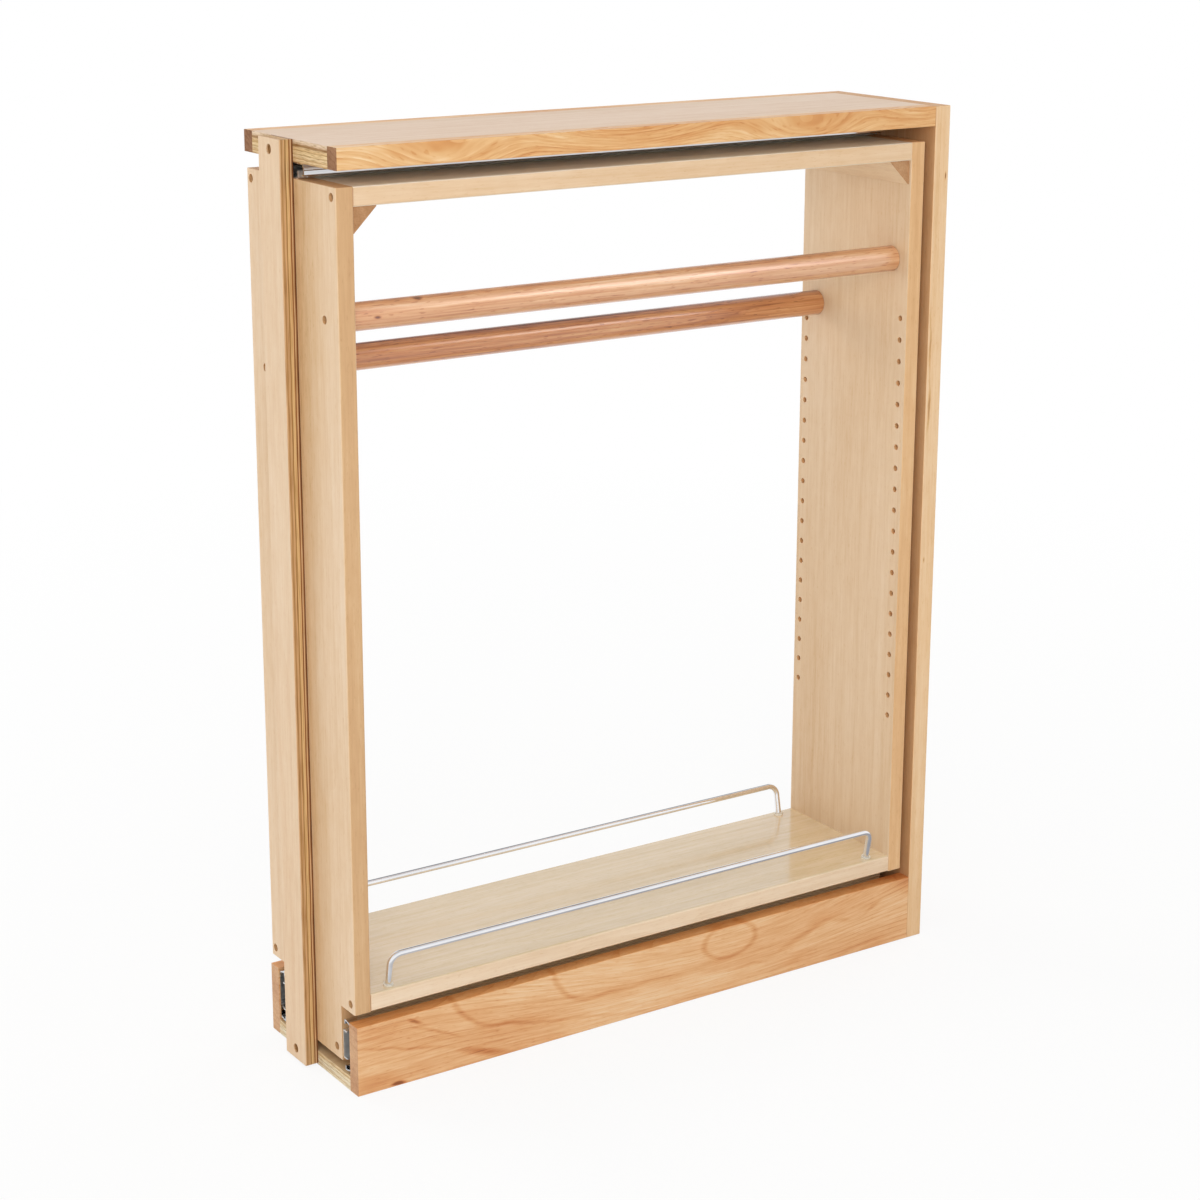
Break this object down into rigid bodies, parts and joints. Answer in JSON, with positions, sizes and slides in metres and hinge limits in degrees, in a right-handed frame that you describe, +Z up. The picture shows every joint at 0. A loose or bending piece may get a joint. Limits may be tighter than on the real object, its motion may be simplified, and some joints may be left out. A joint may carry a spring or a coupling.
{
  "type": "pull-out towel rack",
  "caption": "Narrow wooden cabinet-filler rack whose inner frame pulls out on ball-bearing slides, with round towel bars, a railed bottom shelf and rows of shelf-pin holes.",
  "frame": {"origin": "centre of the footprint, front strip included, on the floor", "axes": "+Z up; the pull-out's front faces -Y and it slides that way; +X is the side with the upper towel bar"},
  "size_m": [0.1524, 0.6014, 0.762],
  "materials": {
    "maple_plywood": "clear satin lacquer",
    "top_plywood": "clear satin lacquer",
    "birch_plywood": "clear satin lacquer, plies showing at the edges",
    "rear_board_maple": "clear satin lacquer",
    "honey_alder": "clear satin lacquer",
    "bar_hardwood": "clear satin lacquer",
    "chrome_rod": "bright chrome plate",
    "zinc_steel": "bright zinc plate",
    "black_plastic": "moulded",
    "ball_steel": "polished",
    "screw_steel": "zinc plate",
    "clear_white_plastic": "moulded"
  },
  "bodies": {
    "frame": {"top_core": "top_plywood", "top_strip_near": "honey_alder", "top_strip_far": "honey_alder", "rear_board": "rear_board_maple", "base_panel": "birch_plywood", "base_rail_near": "honey_alder", "base_rail_far": "honey_alder", "rear_board_screws": "screw_steel", "top_slide_cabinet_member": "zinc_steel", "top_slide_frame_screws": "screw_steel", "near_slide_cabinet_member": "zinc_steel", "near_slide_frame_screws": "screw_steel", "far_slide_cabinet_member": "zinc_steel", "far_slide_frame_screws": "screw_steel"},
    "pullout": {"front_panel": "maple_plywood", "rear_panel": "maple_plywood", "top_rail": "maple_plywood", "bottom_shelf": "maple_plywood", "runner_near": "birch_plywood", "runner_far": "birch_plywood", "upper_towel_bar": "bar_hardwood", "lower_towel_bar": "bar_hardwood", "corner_block_front": "honey_alder", "corner_block_rear": "honey_alder", "gallery_rail_near": "chrome_rod", "gallery_rail_far": "chrome_rod", "gallery_bushes": "clear_white_plastic", "front_strip": "birch_plywood", "strip_screws": "screw_steel", "front_panel_screws": "screw_steel", "rear_panel_screws": "screw_steel", "top_slide_drawer_member": "zinc_steel", "top_slide_pullout_screws": "screw_steel", "near_slide_drawer_member": "zinc_steel", "near_slide_pullout_screws": "screw_steel", "far_slide_drawer_member": "zinc_steel", "far_slide_pullout_screws": "screw_steel"},
    "top_middle": {"top_slide_middle_member": "zinc_steel"},
    "top_outer_cage": {"top_slide_outer_cage": "black_plastic", "top_slide_outer_balls": "ball_steel"},
    "top_inner_cage": {"top_slide_inner_cage": "black_plastic", "top_slide_inner_balls": "ball_steel"},
    "near_middle": {"near_slide_middle_member": "zinc_steel"},
    "near_outer_cage": {"near_slide_outer_cage": "black_plastic", "near_slide_outer_balls": "ball_steel"},
    "near_inner_cage": {"near_slide_inner_cage": "black_plastic", "near_slide_inner_balls": "ball_steel"},
    "far_middle": {"far_slide_middle_member": "zinc_steel"},
    "far_outer_cage": {"far_slide_outer_cage": "black_plastic", "far_slide_outer_balls": "ball_steel"},
    "far_inner_cage": {"far_slide_inner_cage": "black_plastic", "far_slide_inner_balls": "ball_steel"}
  },
  "joints": [
    {"name": "pullout_slide", "type": "slide", "parent": "frame", "child": "pullout", "axis": [0, -1, 0], "range_m": [0, 0.55]},
    {"name": "top_middle_slide", "type": "slide", "parent": "frame", "child": "top_middle", "axis": [0, -1, 0], "range_m": [0, 0.275]},
    {"name": "top_outer_cage_slide", "type": "slide", "parent": "frame", "child": "top_outer_cage", "axis": [0, -1, 0], "range_m": [0, 0.1375]},
    {"name": "top_inner_cage_slide", "type": "slide", "parent": "frame", "child": "top_inner_cage", "axis": [0, -1, 0], "range_m": [0, 0.4125]},
    {"name": "near_middle_slide", "type": "slide", "parent": "frame", "child": "near_middle", "axis": [0, -1, 0], "range_m": [0, 0.275]},
    {"name": "near_outer_cage_slide", "type": "slide", "parent": "frame", "child": "near_outer_cage", "axis": [0, -1, 0], "range_m": [0, 0.1375]},
    {"name": "near_inner_cage_slide", "type": "slide", "parent": "frame", "child": "near_inner_cage", "axis": [0, -1, 0], "range_m": [0, 0.4125]},
    {"name": "far_middle_slide", "type": "slide", "parent": "frame", "child": "far_middle", "axis": [0, -1, 0], "range_m": [0, 0.275]},
    {"name": "far_outer_cage_slide", "type": "slide", "parent": "frame", "child": "far_outer_cage", "axis": [0, -1, 0], "range_m": [0, 0.1375]},
    {"name": "far_inner_cage_slide", "type": "slide", "parent": "frame", "child": "far_inner_cage", "axis": [0, -1, 0], "range_m": [0, 0.4125]}
  ],
  "couplings": [
    {"joint": "top_middle_slide", "follows": "pullout_slide", "ratio": 0.5},
    {"joint": "top_outer_cage_slide", "follows": "pullout_slide", "ratio": 0.25},
    {"joint": "top_inner_cage_slide", "follows": "pullout_slide", "ratio": 0.75},
    {"joint": "near_middle_slide", "follows": "pullout_slide", "ratio": 0.5},
    {"joint": "near_outer_cage_slide", "follows": "pullout_slide", "ratio": 0.25},
    {"joint": "near_inner_cage_slide", "follows": "pullout_slide", "ratio": 0.75},
    {"joint": "far_middle_slide", "follows": "pullout_slide", "ratio": 0.5},
    {"joint": "far_outer_cage_slide", "follows": "pullout_slide", "ratio": 0.25},
    {"joint": "far_inner_cage_slide", "follows": "pullout_slide", "ratio": 0.75}
  ]
}
